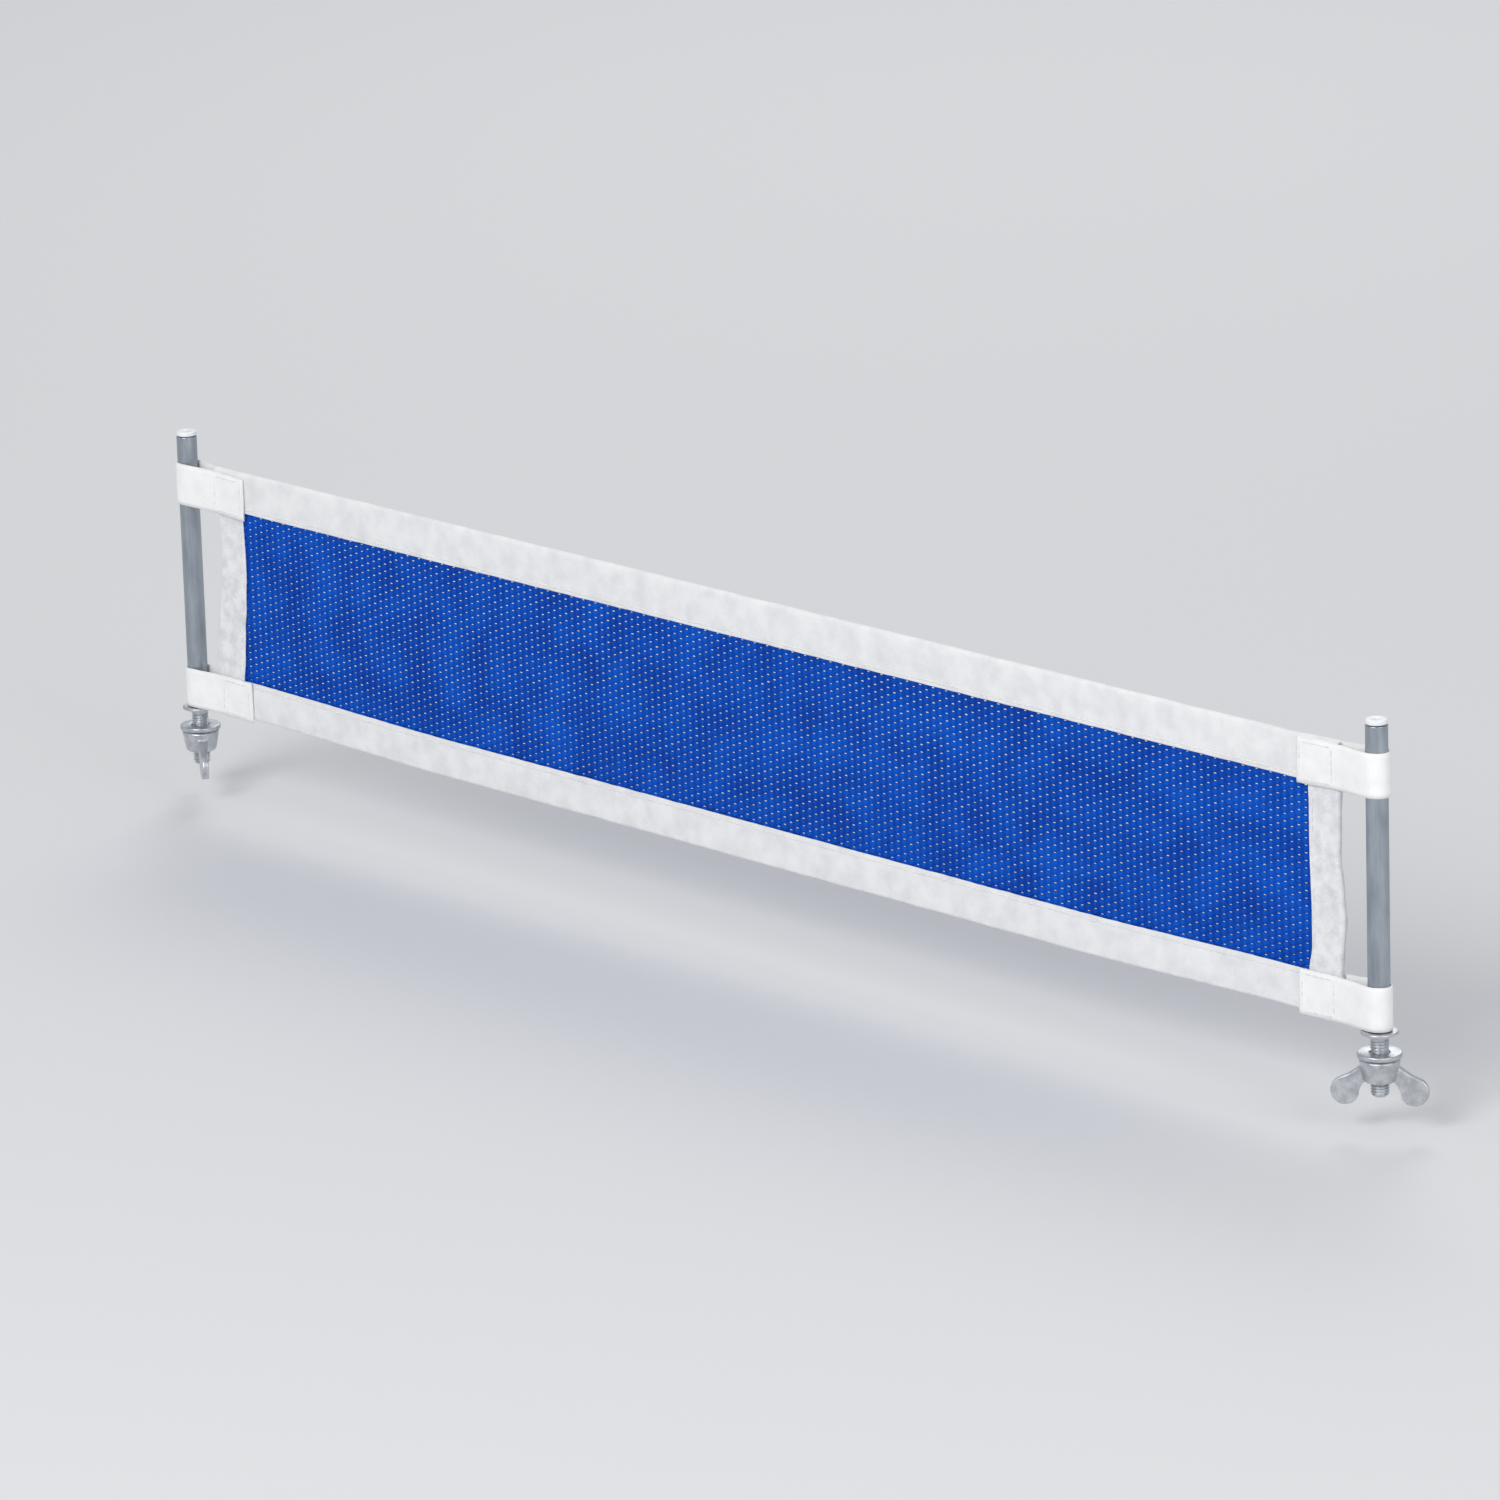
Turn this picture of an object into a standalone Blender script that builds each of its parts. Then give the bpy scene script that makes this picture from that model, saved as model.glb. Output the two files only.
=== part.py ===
"""Table tennis net set for a thin games board, with a screw clamp under each post.

X runs along the net, Y across it and Z up. The origin lies on the board's upper surface, midway between the
posts. Lengths are in metres.
"""
from math import acos, atan2, cos, hypot, pi, radians, sin

import bmesh
import bpy
from mathutils import Vector

# Posts
POST_SPACING = 0.476
POST_DIAMETER = 0.006
POST_ABOVE_NET = 0.009
TUBE_WALL = 0.0008
CAP_HEAD = 0.0012
CAP_EDGE_RADIUS = 0.0004
CAP_PLUG_LENGTH = 0.006

# Collar stud under each post
COLLAR_DIAMETER = 0.010
COLLAR_THICKNESS = 0.0008
COLLAR_EDGE_RADIUS = 0.0003
SPIGOT_LENGTH = 0.009
STUD_DIAMETER = 0.005
STUD_LENGTH = 0.017
LEAD_IN = 0.0005

# Clamp below the board
BOARD_THICKNESS = 0.005
WASHER_DIAMETER = 0.012
WASHER_THICKNESS = 0.0012
NUT_BASE_DIAMETER = 0.011
NUT_NOSE_DIAMETER = 0.009
NUT_HUB_HEIGHT = 0.0065
WING_SPAN = 0.026
WING_HEIGHT = 0.013
WING_TIP_RADIUS = 0.0038
WING_ROOT_THICKNESS = 0.0028
WING_TIP_THICKNESS = 0.0018
WING_ROOT_DROP = 0.0010
WING_FLANK_HOLLOW = 0.0005
WING_EDGE_RADIUS = 0.0004
WING_REST_ANGLE = radians(35)

# Netting and tapes
NET_TOP = 0.076
NET_END_GAP = 0.0130
MESH_THICKNESS = 0.0005
MESH_COLUMNS = 48
MESH_ROWS = 6
STRAND_WIDTH = 0.0012
TAPE_PLY = 0.0005
TOP_TAPE_WIDTH = 0.0118
BOTTOM_TAPE_WIDTH = 0.0110
SIDE_TAPE_WIDTH = 0.0105
STRAP_PLY = 0.0006
STRAP_WIDTH = 0.0121
STRAP_OVERLAP = 0.0137
STRAP_DROP = 0.0002

# Clearances
SEAT_GAP = 0.0003
PRESS_GAP = 0.0002
THREAD_GAP = 0.0003
LOOP_SLACK = 0.0003

# Facets
TURN_STEPS = 32
FOLD_STEPS = 8
LOOP_STEPS = 18
CORNER_STEPS = 3
WING_STEPS = 14
FLANK_STEPS = 4
SHARP_ANGLE = radians(35)
WELD_DISTANCE = 1e-6

# Places worked out from the sizes above
POST_RADIUS = POST_DIAMETER / 2
BORE_RADIUS = POST_RADIUS - TUBE_WALL
PLUG_RADIUS = BORE_RADIUS - PRESS_GAP
POST_X = POST_SPACING / 2
POST_TOP = NET_TOP + POST_ABOVE_NET
NUT_BORE_RADIUS = STUD_DIAMETER / 2 + THREAD_GAP
NET_END = POST_X - NET_END_GAP
TAPE_HALF_GAP = MESH_THICKNESS / 2 + SEAT_GAP
TAPE_OUTSIDE = TAPE_HALF_GAP + TAPE_PLY
STRAP_MIDDLE = TAPE_OUTSIDE + SEAT_GAP + STRAP_PLY / 2
BOTTOM_LOOP_LOW = COLLAR_THICKNESS + SEAT_GAP
NET_BOTTOM = BOTTOM_LOOP_LOW + STRAP_DROP
TOP_TAPE_LOW = NET_TOP - TOP_TAPE_WIDTH
BOTTOM_TAPE_HIGH = NET_BOTTOM + BOTTOM_TAPE_WIDTH
TOP_LOOP_LOW = TOP_TAPE_LOW - STRAP_DROP

# Colour, roughness and metallic value of each finish
FINISHES = {
    "satin_steel": ((0.33, 0.37, 0.42, 1), 0.35, 1.0),
    "zinc_steel": ((0.55, 0.56, 0.57, 1), 0.40, 1.0),
    "white_nylon": ((0.86, 0.87, 0.88, 1), 0.45, 0.0),
    "white_tape": ((0.80, 0.79, 0.79, 1), 0.85, 0.0),
    "blue_netting": ((0.006, 0.060, 0.320, 1), 0.80, 0.0),
}


def clear_scene():
    for old in list(bpy.data.objects):
        bpy.data.objects.remove(old)


def make_material(name, finish):
    colour, roughness, metallic = FINISHES[finish]
    material = bpy.data.materials.new(f"{name}_{finish}")
    material.use_nodes = True
    shader = material.node_tree.nodes["Principled BSDF"]
    shader.inputs["Base Color"].default_value = colour
    shader.inputs["Roughness"].default_value = roughness
    shader.inputs["Metallic"].default_value = metallic
    return material


def add_object(name, bm, finish=None, smooth=False, parent=None, height=0.0):
    """Turns a bmesh into a linked object, raised to its height on its parent."""
    bmesh.ops.recalc_face_normals(bm, faces=bm.faces)
    mesh = bpy.data.meshes.new(name)
    bm.to_mesh(mesh)
    bm.free()
    if smooth:
        mesh.shade_smooth()
        mesh.set_sharp_from_angle(angle=SHARP_ANGLE)
    if finish:
        mesh.materials.append(make_material(name, finish))
    item = bpy.data.objects.new(name, mesh)
    bpy.context.collection.objects.link(item)
    item.parent = parent
    item.location.z = height
    return item


def add_empty(name, x, parent=None, height=0.0, turn=0.0):
    empty = bpy.data.objects.new(name, None)
    bpy.context.collection.objects.link(empty)
    empty.parent = parent
    empty.location = (x, 0, height)
    empty.rotation_euler.z = turn
    return empty


def arc(centre, radius, start, end, steps):
    """Points along a circle, both ends included."""
    angles = [start + (end - start) * k / steps for k in range(steps + 1)]
    return [Vector((centre[0] + radius * cos(a), centre[1] + radius * sin(a))) for a in angles]


def tangent_angle(point, centre, radius, side):
    """Where the line from a point touches a circle, as an angle about the circle's centre."""
    away = Vector(point) - Vector(centre)
    return atan2(away.y, away.x) + side * acos(radius / away.length)


# Turned pieces

def turned(name, profile, finish, parent, height=0.0, ring=False):
    """A round piece: (radius, height) points spun about the post's axis. A ring has a hole through it."""
    bm = bmesh.new()
    verts = [bm.verts.new((radius, 0, z)) for radius, z in profile]
    pairs = list(zip(verts, verts[1:]))
    if ring:
        pairs.append((verts[-1], verts[0]))
    edges = [bm.edges.new(pair) for pair in pairs]
    bmesh.ops.spin(bm, geom=verts + edges, axis=(0, 0, 1), cent=(0, 0, 0), angle=2 * pi,
                   steps=TURN_STEPS, use_merge=True, use_duplicate=False)
    bmesh.ops.remove_doubles(bm, verts=bm.verts, dist=WELD_DISTANCE)
    return add_object(name, bm, finish, True, parent, height)


def ring_profile(inner, outer, low, high, edge):
    """A washer or a tube with small chamfers on its outer edges."""
    return [(outer - edge, high), (outer, high - edge), (outer, low + edge), (outer - edge, low),
            (inner, low), (inner, high)]


def post_tube(end, parent):
    low = COLLAR_THICKNESS + SEAT_GAP
    high = POST_TOP - CAP_HEAD - SEAT_GAP
    turned(f"post_tube_{end}", ring_profile(BORE_RADIUS, POST_RADIUS, low, high, TUBE_WALL / 4),
           "satin_steel", parent, ring=True)


def post_cap(end, parent):
    """A plug with a head as wide as the tube, rounded at its top edge."""
    head_low = POST_TOP - CAP_HEAD
    plug_low = head_low - CAP_PLUG_LENGTH
    rounded = arc((POST_RADIUS - CAP_EDGE_RADIUS, POST_TOP - CAP_EDGE_RADIUS), CAP_EDGE_RADIUS,
                  pi / 2, 0, CORNER_STEPS)
    profile = [(0, POST_TOP), *rounded, (POST_RADIUS, head_low), (PLUG_RADIUS, head_low),
               (PLUG_RADIUS, plug_low + LEAD_IN), (PLUG_RADIUS - LEAD_IN, plug_low), (0, plug_low)]
    turned(f"post_cap_{end}", profile, "white_nylon", parent)


def collar_stud(end, parent):
    """Spigot for the tube, collar that stands on the board, and stud that goes through the board."""
    spigot_high = COLLAR_THICKNESS + SPIGOT_LENGTH
    collar, stud = COLLAR_DIAMETER / 2, STUD_DIAMETER / 2
    rounded = arc((collar - COLLAR_EDGE_RADIUS, COLLAR_THICKNESS - COLLAR_EDGE_RADIUS),
                  COLLAR_EDGE_RADIUS, pi / 2, 0, CORNER_STEPS)
    profile = [(0, spigot_high), (PLUG_RADIUS - LEAD_IN, spigot_high),
               (PLUG_RADIUS, spigot_high - LEAD_IN), (PLUG_RADIUS, COLLAR_THICKNESS), *rounded,
               (collar, 0), (stud, 0), (stud, LEAD_IN - STUD_LENGTH),
               (stud - LEAD_IN, -STUD_LENGTH), (0, -STUD_LENGTH)]
    turned(f"collar_stud_{end}", profile, "zinc_steel", parent)


def clamp_washer(end, parent):
    profile = ring_profile(NUT_BORE_RADIUS, WASHER_DIAMETER / 2, -WASHER_THICKNESS, 0,
                           WASHER_THICKNESS / 6)
    turned(f"clamp_washer_{end}", profile, "zinc_steel", parent, -BOARD_THICKNESS, ring=True)


# Wing nut

def flank(start, end):
    """The inner points of a flank that is hollowed to the right of its run."""
    run = end - start
    hollow = Vector((run.y, -run.x)).normalized() * WING_FLANK_HOLLOW
    shares = [k / FLANK_STEPS for k in range(1, FLANK_STEPS)]
    return [start.lerp(end, share) + hollow * sin(pi * share) for share in shares]


def wing_outline(side):
    """One wing seen flat: a round ear joined to the hub by two hollow flanks."""
    root = (NUT_BORE_RADIUS + NUT_NOSE_DIAMETER / 2) / 2
    ear = (WING_SPAN / 2 - WING_TIP_RADIUS, WING_TIP_RADIUS - WING_HEIGHT)
    upper = Vector((root, -WING_ROOT_DROP))
    lower = Vector((root, SEAT_GAP - NUT_HUB_HEIGHT))
    start = tangent_angle(upper, ear, WING_TIP_RADIUS, -1)
    end = tangent_angle(lower, ear, WING_TIP_RADIUS, 1) - 2 * pi
    tip = arc(ear, WING_TIP_RADIUS, start, end, WING_STEPS)
    points = [upper, *flank(upper, tip[0]), *tip, *flank(tip[-1], lower), lower]
    return [Vector((side * p.x, p.y)) for p in points]


def wing(name, side, parent):
    """A wing that thins from the hub to its tip, kept as a guide for the nut's union."""
    outline = wing_outline(side)
    root = abs(outline[0].x)
    reach = WING_SPAN / 2 - root
    bm = bmesh.new()
    faces = []
    for face_side in (-1, 1):
        verts = []
        for p in outline:
            share = (abs(p.x) - root) / reach
            thickness = WING_ROOT_THICKNESS + (WING_TIP_THICKNESS - WING_ROOT_THICKNESS) * share
            verts.append(bm.verts.new((p.x, face_side * thickness / 2, p.y)))
        faces.append(bm.faces.new(verts))
    near, far = faces[0].verts[:], faces[1].verts[:]
    count = len(near)
    for k in range(count):
        after = (k + 1) % count
        bm.faces.new((near[k], near[after], far[after], far[k]))
    guide = add_object(name, bm, smooth=True, parent=parent)
    bevel = guide.modifiers.new("rounded_edge", "BEVEL")
    bevel.width = WING_EDGE_RADIUS
    bevel.segments = 2
    bevel.limit_method = "ANGLE"
    bevel.angle_limit = radians(60)
    guide.hide_render = True
    guide.display_type = "WIRE"
    return guide


def wing_nut(end, parent):
    """A tapered hub with its hole, and two wings joined to it."""
    base, nose = NUT_BASE_DIAMETER / 2, NUT_NOSE_DIAMETER / 2
    edge = LEAD_IN
    profile = [(NUT_BORE_RADIUS, 0), (base - edge, 0), (base, -edge),
               (nose, edge - NUT_HUB_HEIGHT), (nose - edge, -NUT_HUB_HEIGHT),
               (NUT_BORE_RADIUS, -NUT_HUB_HEIGHT)]
    nut = turned(f"wing_nut_{end}", profile, "zinc_steel", parent, ring=True)
    for name, side in (("outer", 1), ("inner", -1)):
        union = nut.modifiers.new(f"{name}_wing", "BOOLEAN")
        union.operation = "UNION"
        union.solver = "EXACT"
        union.object = wing(f"wing_guide_{name}_{end}", side, parent)


# Netting, tapes and loops

def beside(path, distance):
    """The points that lie an even distance to the left of a path."""
    runs = [(b - a).normalized() for a, b in zip(path, path[1:])]
    points = []
    for point, before, after in zip(path, runs[:1] + runs, runs + runs[-1:]):
        square_before = Vector((-before.y, before.x))
        square = (square_before + Vector((-after.y, after.x))).normalized()
        points.append(point + square * distance / square.dot(square_before))
    return points


def ribbon(name, path, ply, place, low, high, finish="white_tape"):
    """A folded tape: a ply that follows a path and reaches from low to high across it."""
    bm = bmesh.new()
    stations = []
    for left, right in zip(beside(path, ply / 2), beside(path, -ply / 2)):
        corners = ((left, low), (left, high), (right, high), (right, low))
        stations.append([bm.verts.new(place(point, across)) for point, across in corners])
    for near, far in zip(stations, stations[1:]):
        for k in range(4):
            after = (k + 1) % 4
            bm.faces.new((near[k], near[after], far[after], far[k]))
    bm.faces.new(stations[0])
    bm.faces.new(stations[-1])
    return add_object(name, bm, finish, smooth=True)


def fold_path(open_edge, fold_edge):
    """The middle of a tape folded over the netting, as (across the net, along the fold's reach)."""
    way = 1 if fold_edge > open_edge else -1
    middle = TAPE_HALF_GAP + TAPE_PLY / 2
    centre = fold_edge - way * TAPE_OUTSIDE
    fold = arc((0, centre), middle, 0, way * pi, FOLD_STEPS)
    return [Vector((middle, open_edge)), *fold, Vector((-middle, open_edge))]


def lengthways(point, across):
    return across, point.x, point.y


def upright(point, across):
    return point.y, point.x, across


def round_post(point, across):
    return point.x, point.y, across


def tapes():
    ribbon("top_tape", fold_path(TOP_TAPE_LOW, NET_TOP), TAPE_PLY, lengthways, -NET_END, NET_END)
    ribbon("bottom_tape", fold_path(BOTTOM_TAPE_HIGH, NET_BOTTOM), TAPE_PLY, lengthways,
           -NET_END, NET_END)
    for end, side in (("right", 1), ("left", -1)):
        path = fold_path(side * (NET_END - SIDE_TAPE_WIDTH), side * NET_END)
        ribbon(f"side_tape_{end}", path, TAPE_PLY, upright, BOTTOM_TAPE_HIGH + SEAT_GAP,
               TOP_TAPE_LOW - SEAT_GAP)


def loop_path(side):
    """A strap's middle seen from above: out along the tape, round the post and back."""
    radius = POST_RADIUS + LOOP_SLACK + STRAP_PLY / 2
    sewn = (NET_END - STRAP_OVERLAP, STRAP_MIDDLE)
    leaves = (NET_END + STRAP_PLY, STRAP_MIDDLE)
    touch = tangent_angle(leaves, (POST_X, 0), radius, -1)
    half = [Vector(sewn), Vector(leaves)]
    bend = arc((POST_X, 0), radius, touch, -touch, LOOP_STEPS)
    back = [Vector((p.x, -p.y)) for p in reversed(half)]
    return [Vector((side * p.x, p.y)) for p in half + bend + back]


def loops():
    for end, side in (("right", 1), ("left", -1)):
        for level, low in (("top", TOP_LOOP_LOW), ("bottom", BOTTOM_LOOP_LOW)):
            ribbon(f"{level}_loop_{end}", loop_path(side), STRAP_PLY, round_post, low,
                   low + STRAP_WIDTH)


def lattice_lines(low, high, first, last, gaps):
    """Edges of the border and strands along one direction: even gaps between first and last."""
    gap = (last - first - (gaps - 1) * STRAND_WIDTH) / gaps
    lines = [low]
    for k in range(gaps):
        start = first + k * (gap + STRAND_WIDTH)
        lines += [start, start + gap]
    return lines + [high]


def net_mesh():
    """The netting as a flat lattice, its border hidden between the plies of the tapes."""
    border = TAPE_PLY + SEAT_GAP
    end = NET_END - border
    window = NET_END - SIDE_TAPE_WIDTH
    columns = lattice_lines(-end, end, -window, window, MESH_COLUMNS)
    rows = lattice_lines(NET_BOTTOM + border, NET_TOP - border, BOTTOM_TAPE_HIGH, TOP_TAPE_LOW,
                         MESH_ROWS)

    def is_solid(i, j):
        inside = 0 <= i < len(columns) - 1 and 0 <= j < len(rows) - 1
        return inside and not (i % 2 and j % 2)

    bm = bmesh.new()
    front, back = [[[bm.verts.new((x, y, z)) for z in rows] for x in columns]
                   for y in (-MESH_THICKNESS / 2, MESH_THICKNESS / 2)]
    for i in range(len(columns) - 1):
        for j in range(len(rows) - 1):
            if not is_solid(i, j):
                continue
            corners = ((i, j), (i + 1, j), (i + 1, j + 1), (i, j + 1))
            beyond = ((i, j - 1), (i + 1, j), (i, j + 1), (i - 1, j))
            bm.faces.new([front[a][b] for a, b in corners])
            bm.faces.new([back[a][b] for a, b in reversed(corners)])
            for (a, b), (c, d), next_cell in zip(corners, corners[1:] + corners[:1], beyond):
                if not is_solid(*next_cell):
                    bm.faces.new((front[a][b], front[c][d], back[c][d], back[a][b]))
    add_object("net_mesh", bm, "blue_netting")


def post_end(end, side):
    """Everything on one post's axis. The nut's empty turns, and the clamp's empty rides on the stud."""
    axis = add_empty(f"post_axis_{end}", side * POST_X)
    post_tube(end, axis)
    post_cap(end, axis)
    collar_stud(end, axis)
    clamp_washer(end, axis)
    nut_height = -BOARD_THICKNESS - WASHER_THICKNESS - SEAT_GAP
    wing_nut(end, add_empty(f"nut_axis_{end}", 0, axis, nut_height, side * WING_REST_ANGLE))


clear_scene()
net_mesh()
tapes()
loops()
post_end("right", 1)
post_end("left", -1)
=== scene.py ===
"""The looks of a small table tennis net set: knitted netting, sewn tapes and loops, satin posts, zinc clamps.

Lengths are in metres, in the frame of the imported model: X along the net, Y across it, Z up from the board.
"""
from math import acos, atan2, cos, pi, radians, sin, tau

import bmesh
import bpy
import numpy as np
from mathutils import Matrix, Quaternion, Vector, noise


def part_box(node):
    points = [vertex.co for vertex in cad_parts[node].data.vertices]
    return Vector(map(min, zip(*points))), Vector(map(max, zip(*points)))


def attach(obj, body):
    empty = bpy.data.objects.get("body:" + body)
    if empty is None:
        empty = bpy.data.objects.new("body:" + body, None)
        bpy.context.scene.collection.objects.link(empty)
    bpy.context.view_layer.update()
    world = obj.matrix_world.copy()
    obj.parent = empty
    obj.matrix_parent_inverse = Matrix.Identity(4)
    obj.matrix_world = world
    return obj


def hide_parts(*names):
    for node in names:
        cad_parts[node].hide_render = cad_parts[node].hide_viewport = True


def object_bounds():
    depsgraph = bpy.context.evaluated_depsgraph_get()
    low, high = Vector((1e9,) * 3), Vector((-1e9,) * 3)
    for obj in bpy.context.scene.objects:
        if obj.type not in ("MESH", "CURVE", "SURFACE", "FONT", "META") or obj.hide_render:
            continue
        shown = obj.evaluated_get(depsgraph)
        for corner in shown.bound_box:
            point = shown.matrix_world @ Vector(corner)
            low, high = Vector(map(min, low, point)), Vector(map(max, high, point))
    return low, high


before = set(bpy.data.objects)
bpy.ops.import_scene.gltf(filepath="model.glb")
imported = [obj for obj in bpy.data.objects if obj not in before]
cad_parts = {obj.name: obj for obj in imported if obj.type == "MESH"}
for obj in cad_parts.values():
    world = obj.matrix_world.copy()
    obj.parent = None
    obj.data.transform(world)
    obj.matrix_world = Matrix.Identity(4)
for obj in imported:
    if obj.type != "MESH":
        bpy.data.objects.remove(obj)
CAD_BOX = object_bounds()
ENDS = (("right", 1), ("left", -1))

# The view: the photograph's own camera place, with a longer lens aimed at the net
CAMERA_PLACE = Vector((1.7093, -1.5931, 0.7029))
CAMERA_AIM = Vector((0.0017, 0, 0.032))
CAMERA_ROLL = radians(-1.741)
CAMERA_LENS = 210
SENSOR_WIDTH = 36
CLIP_NEAR, CLIP_FAR = 0.05, 40

# Lamps: name, place, the height above the middle that it aims at, width and power
LAMPS = (
    ("key", (0.5, -1.95, 1.35), 0.03, 1.1, 27),
    ("fill", (1.9, -0.2, 0.9), 0.03, 1.2, 9),
    ("rim", (-1.0, 1.2, 1.3), 0.04, 0.9, 8),
)
ROOM_COLOUR = (0.93, 0.96, 1.0, 1)
ROOM_STRENGTH = 0.55

# The floor lies below the wing nuts, far enough down for them to be run to the studs' ends, and
# fades into an even backdrop between these distances from the middle
NUT_TRAVEL = 0.008
FLOOR_CLEARANCE = 0.0001
FLOOR_HALF = 6.0
FADE_START, FADE_END = 1.2, 2.6
FLOOR_COLOUR = (0.71, 0.71, 0.715)
BACKDROP_COLOUR = (0.66, 0.675, 0.70, 1)

# Netting: columns of knots, and flat strands that zigzag from one to the next
MESH_STEP = 0.0025
MESH_RISE = 0.00102
MESH_ZIGZAG = 0.00045
MESH_WANDER = 0.00010
MESH_DRIFT = 0.0006
MESH_UNDER_TAPE = 0.0018
MESH_UNDER_SIDE_TAPE = 0.0035
KNOT_HALF_LENGTH = 0.00026
STRAND_WIDTH = 0.00192
STRAND_THICKNESS = 0.00060
STRAND_VARIATION = 0.05
STRAND_SIDES = 5
WEAVE_DEPTH = 0.00013
FILAMENT_WIDTH = 0.00030
FILAMENT_TWIST = 0.0021

# How the net's lower edge settles on the board between its ends
NET_SAG = 0.0012
SAG_FLAT, SAG_END = 0.125, 0.212
SAG_LOW, SAG_TOP = 0.0125, 0.064

# Stitches: their radius at an end is a share of the full one, and they rise from below the cloth
STITCH_SPACE = 0.0024
STITCH_SHARE = 0.92
STITCH_RADIUS = 0.00020
STITCH_END_RADIUS = 0.72
STITCH_RISE, STITCH_DEPTH = 1.5, 0.9
STITCH_FULLNESS = 1.7
STITCH_RINGS, STITCH_SIDES = 7, 6
STITCH_INSET = 0.0012
SEAM_FROM_END = 0.001
SEAM_FROM_SELVEDGE = 0.0008

# Folded tapes: the cloth's ply, half the gap in its fold, and how the seam draws it in
TAPE_PLY = 0.0005
TAPE_BULGE = 0.00082
TAPE_OPEN_BULGE = 0.90
TAPE_STATION = 0.0006
TAPE_LEG_POINTS = (0, 0.03, 0.07, 0.105, 0.14, 0.19, 0.27, 0.40, 0.58, 0.78, 1.0)
FOLD_STEPS = 8
SEAM_HALF = 0.00060
SEAM_PUFF = 0.00007
SEAM_REACH = 0.00075
PUCKER_DEPTH, PUCKER_REACH = 0.00009, 0.0028
LIP_DEPTH, LIP_REACH = 0.00006, 0.0008
LIP_ROUNDING = 0.6
OPEN_EDGE_WANDER = 0.00010
FOLD_EDGE_WANDER = 0.00012
TAPE_SWAY = 0.00012
OVER_SIDE_TAPE = 0.00020
OVER_SIDE_TAPE_RUN = 0.002
SIDE_TUCK = 0.0012
SIDE_TAPE_GAP = 0.94
SIDE_SEAM_STRAY = 0.9

# How far the side tapes' edges stray outwards, from the bottom tape to the top one
STRAY_HEIGHTS = (0.012, 0.020, 0.028, 0.036, 0.045, 0.055, 0.065)
SIDE_TAPE_STRAYS = {
    "right": {"open": (-0.0004, 0.0009, 0.0007, 0.0005, 0.0002, 0.0001, 0.0),
              "fold": (0.0, 0.0007, 0.0015, 0.0007, -0.0002, -0.0001, 0.0005)},
    "left": {"open": (0.0012, 0.0003, -0.0003, -0.0012, -0.0019, -0.0017, -0.0012),
             "fold": (0.0028, 0.0024, 0.0013, -0.0002, -0.0013, -0.0015, -0.0011)},
}

# Loops: the strap runs along the tape at the leg's distance from the net's middle plane
STRAP_PLY = 0.0006
STRAP_STATION = 0.0007
STRAP_STEPS = 10
STRAP_WANDER = 0.00010
STRAP_RIPPLE = 0.00006
SELVEDGE_PLY = 0.55
SELVEDGE_SHARE = 1 / 12
LOOP_GAP = 0.00015
SEWN_GAP = 0.00005
LOOP_LEG = TAPE_BULGE + OVER_SIDE_TAPE + TAPE_PLY / 2 + SEWN_GAP + STRAP_PLY / 2
ROUND_POST_STEPS = 20
CORNER_EASINGS = 4

# How far each loop's lower and upper edge stray upwards, at the post and at the sewn end
LOOP_STRAYS = {
    "top_loop_right": ((0.0003, 0.0003), (-0.0008, -0.0003)),
    "top_loop_left": ((-0.0008, -0.0004), (-0.0020, -0.0014)),
    "bottom_loop_right": ((0.0, 0.0), (-0.0010, -0.0005)),
    "bottom_loop_left": ((0.0, -0.0003), (-0.0006, -0.0006)),
}

# Turned pieces
TURN_STEPS = 96
POLE_RADIUS = 1e-5
POLE_WELD = 2.5e-5
TUBE_WALL = 0.0008
CAP_HEAD = 0.0012
CAP_PLUG_INSET = 0.0011
WASHER_BORE = 0.00265

# Studs, with an M5 thread of 0.8 mm
STUD_RADIUS = 0.0025
STUD_TIP_RADIUS = 0.0012
STUD_TIP_CHAMFER = 0.0007
STUD_FILLET = 0.0003
STUD_SPIGOT_RADIUS = 0.0020
STUD_STEPS = 48
COLLAR_THICKNESS = 0.0008
THREAD_TOP = -0.0010
THREAD_PITCH = 0.0008
THREAD_DEPTH = 0.00045
THREAD_LEVELS = 12
THREAD_CREST, THREAD_WALL = 0.12, 0.70

# Wing nuts
WING_SPAN = 0.026
WING_HEIGHT = 0.013
WING_TIP_RADIUS = 0.0038
WING_TIP_STEPS = 24
WING_HOLLOW = 0.0005
WING_FLANK_STEPS = 8
WING_ROOT = 0.0036
WING_ROOT_TOP = 0.0010
WING_ROOT_FOOT = 0.0003
WING_HALF_THICKNESS = 0.0014
WING_TAPER = 0.0005
HUB_HEIGHT = 0.0065
HUB_BASE = 0.0055
HUB_NOSE = 0.0045
NUT_BORE = 0.00262
WING_REST_ANGLE = radians(35)
CAST_VOXEL = 0.00020
CAST_SOFTENINGS = 5


# Small tools. The factors and offsets inside the calls of smooth_noise set how fine each kind of
# unevenness is and keep the kinds apart.

def smooth_noise(*place):
    """A steady random value from -1 to 1 that changes slowly from place to place."""
    x, y, z = (list(place) + [0.0, 0.0])[:3]
    return noise.noise(Vector((x, y, z)))


def clamped(share):
    return min(max(share, 0.0), 1.0)


def s_curve(share):
    """Eases a share from 0 to 1 at both its ends."""
    return share * share * (3 - 2 * share)


def tangent(point, centre, radius, side):
    """The angle at which the line from a point touches a circle, on one side or the other."""
    away = point - centre
    return atan2(away.y, away.x) + side * acos(radius / away.length)


def linked(name, data):
    item = bpy.data.objects.new(name, data)
    bpy.context.scene.collection.objects.link(item)
    return item


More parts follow.
